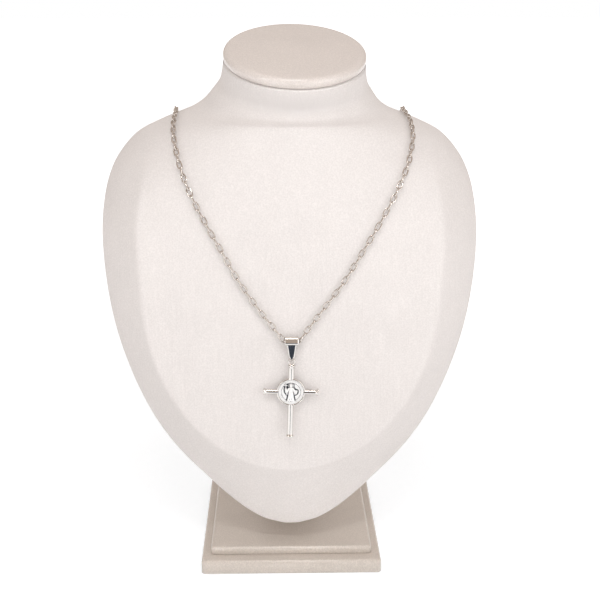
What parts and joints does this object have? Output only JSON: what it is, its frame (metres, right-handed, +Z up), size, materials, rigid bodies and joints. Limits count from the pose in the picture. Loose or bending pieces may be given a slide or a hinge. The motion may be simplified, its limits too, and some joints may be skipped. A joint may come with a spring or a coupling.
{
  "type": "crucifix pendant necklace on a neck bust",
  "caption": "Cross with flared bars and a round relief medal, hung by a rolled bail on a long-link cable chain that lies over a padded leatherette neck bust with a stepped base.",
  "frame": {"origin": "middle of the base's underside", "axes": "+Z up, -Y to the front that the pendant faces, +X to the right as seen from the front"},
  "size_m": [0.2006, 0.1312, 0.2942],
  "materials": {
    "base_leatherette": "matte, fine grain",
    "bust_leatherette": "matte, fine grain",
    "cap_leatherette": "matte, fine grain",
    "polished_steel": "polished",
    "medal_steel": "polished, with darkened recesses"
  },
  "bodies": {
    "stand": {"base_lower": "base_leatherette", "base_upper": "base_leatherette", "stand_post": "base_leatherette", "bust_form": "bust_leatherette", "neck_cap": "cap_leatherette", "chain": "polished_steel", "clasp": "polished_steel"},
    "bail": {"bail": "polished_steel"},
    "cross": {"cross": "polished_steel", "medal": "medal_steel"}
  },
  "joints": [
    {"name": "bail_swing", "type": "hinge", "parent": "stand", "child": "bail", "pos_m": [0.00024, -0.06889, 0.13847], "axis": [-1, 0, 0], "range_deg": [0, 75]},
    {"name": "cross_swing", "type": "hinge", "parent": "bail", "child": "cross", "pos_m": [0.00024, -0.06889, 0.12867], "axis": [-1, 0, 0], "range_deg": [0, 70]}
  ]
}
